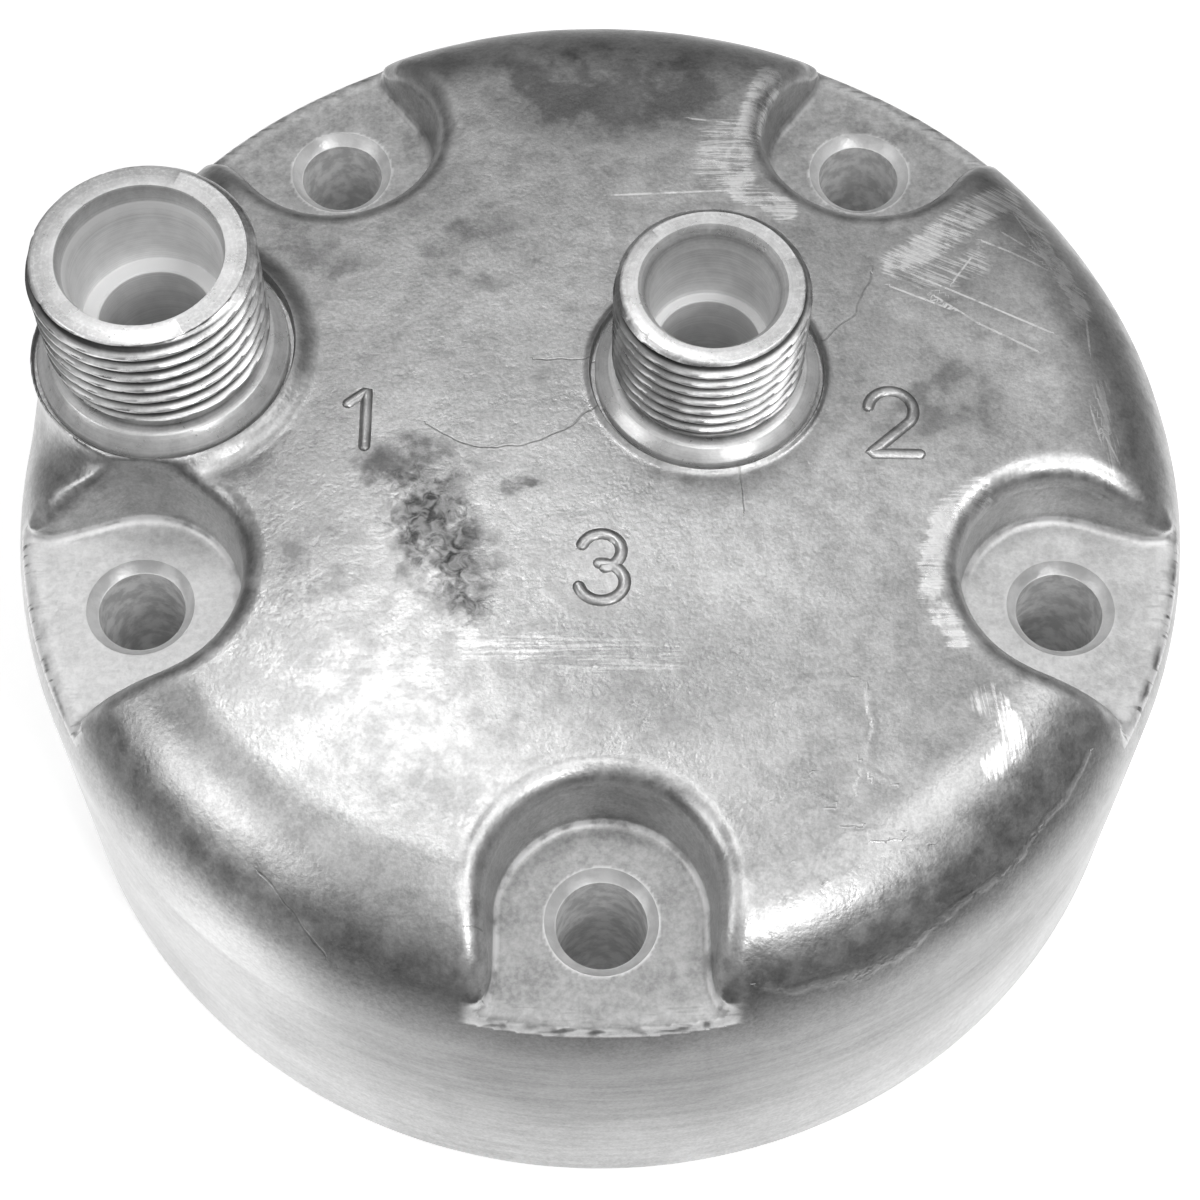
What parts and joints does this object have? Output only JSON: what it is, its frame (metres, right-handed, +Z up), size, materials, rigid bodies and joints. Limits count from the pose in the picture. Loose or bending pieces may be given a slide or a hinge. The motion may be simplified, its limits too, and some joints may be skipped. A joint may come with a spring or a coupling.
{
  "type": "compressor cylinder head",
  "caption": "Round die-cast head of an air conditioning compressor with two threaded ports, open bolt seats and a reed valve stack inside its skirt.",
  "frame": {"origin": "centre of the rim's plane, on the casting's axis", "axes": "+Z up through the dome and along the ports, -Y towards the front bolt seat, +X to the right with the suction port on the left"},
  "size_m": [0.1198, 0.1198, 0.0654],
  "materials": {
    "cast_aluminium": "bare die-cast skin, mottled, satin",
    "machined_aluminium": "turned, bright",
    "hardened_steel": "ground",
    "gasket": "matt coated sheet",
    "plate_steel": "ground",
    "spring_steel": "polished strip",
    "fastener_steel": "dark phosphate"
  },
  "bodies": {
    "head": {"head_casting": "cast_aluminium", "suction_port_fitting": "machined_aluminium", "discharge_port_fitting": "machined_aluminium", "locating_pins": "hardened_steel", "head_gasket": "gasket", "valve_plate": "plate_steel", "discharge_valve_hub": "spring_steel", "valve_retainer": "plate_steel", "retainer_bolt": "fastener_steel", "lock_washer": "fastener_steel", "retainer_nut": "fastener_steel", "suction_valve_disc": "spring_steel", "cylinder_gasket": "gasket"},
    "discharge_reed_1": {"discharge_reed_1": "spring_steel"},
    "discharge_reed_2": {"discharge_reed_2": "spring_steel"},
    "discharge_reed_3": {"discharge_reed_3": "spring_steel"},
    "discharge_reed_4": {"discharge_reed_4": "spring_steel"},
    "discharge_reed_5": {"discharge_reed_5": "spring_steel"},
    "suction_reed_1": {"suction_reed_1": "spring_steel"},
    "suction_reed_2": {"suction_reed_2": "spring_steel"},
    "suction_reed_3": {"suction_reed_3": "spring_steel"},
    "suction_reed_4": {"suction_reed_4": "spring_steel"},
    "suction_reed_5": {"suction_reed_5": "spring_steel"}
  },
  "joints": [
    {"name": "discharge_reed_1_lift", "type": "hinge", "parent": "head", "child": "discharge_reed_1", "pos_m": [0.00535, -0.00736, 0.0064], "axis": [-0.809, -0.5878, 0], "range_deg": [0, 5], "stiffness_Nm_per_rad": 0.002, "springref_deg": -11.46},
    {"name": "discharge_reed_2_lift", "type": "hinge", "parent": "head", "child": "discharge_reed_2", "pos_m": [0.00865, 0.00281, 0.0064], "axis": [0.309, -0.9511, 0], "range_deg": [0, 5], "stiffness_Nm_per_rad": 0.002, "springref_deg": -11.46},
    {"name": "discharge_reed_3_lift", "type": "hinge", "parent": "head", "child": "discharge_reed_3", "pos_m": [0, 0.0091, 0.0064], "axis": [1, 0, 0], "range_deg": [0, 5], "stiffness_Nm_per_rad": 0.002, "springref_deg": -11.46},
    {"name": "discharge_reed_4_lift", "type": "hinge", "parent": "head", "child": "discharge_reed_4", "pos_m": [-0.00865, 0.00281, 0.0064], "axis": [0.309, 0.9511, 0], "range_deg": [0, 5], "stiffness_Nm_per_rad": 0.002, "springref_deg": -11.46},
    {"name": "discharge_reed_5_lift", "type": "hinge", "parent": "head", "child": "discharge_reed_5", "pos_m": [-0.00535, -0.00736, 0.0064], "axis": [-0.809, 0.5878, 0], "range_deg": [0, 5], "stiffness_Nm_per_rad": 0.002, "springref_deg": -11.46},
    {"name": "suction_reed_1_drop", "type": "hinge", "parent": "head", "child": "suction_reed_1", "pos_m": [0.00999, -0.01375, 0.0034], "axis": [0.809, 0.5878, 0], "range_deg": [0, 2.4], "stiffness_Nm_per_rad": 0.002, "springref_deg": -11.46},
    {"name": "suction_reed_2_drop", "type": "hinge", "parent": "head", "child": "suction_reed_2", "pos_m": [0.01617, 0.00525, 0.0034], "axis": [-0.309, 0.9511, 0], "range_deg": [0, 2.4], "stiffness_Nm_per_rad": 0.002, "springref_deg": -11.46},
    {"name": "suction_reed_3_drop", "type": "hinge", "parent": "head", "child": "suction_reed_3", "pos_m": [0, 0.017, 0.0034], "axis": [-1, 0, 0], "range_deg": [0, 2.4], "stiffness_Nm_per_rad": 0.002, "springref_deg": -11.46},
    {"name": "suction_reed_4_drop", "type": "hinge", "parent": "head", "child": "suction_reed_4", "pos_m": [-0.01617, 0.00525, 0.0034], "axis": [-0.309, -0.9511, 0], "range_deg": [0, 2.4], "stiffness_Nm_per_rad": 0.002, "springref_deg": -11.46},
    {"name": "suction_reed_5_drop", "type": "hinge", "parent": "head", "child": "suction_reed_5", "pos_m": [-0.00999, -0.01375, 0.0034], "axis": [0.809, -0.5878, 0], "range_deg": [0, 2.4], "stiffness_Nm_per_rad": 0.002, "springref_deg": -11.46}
  ]
}
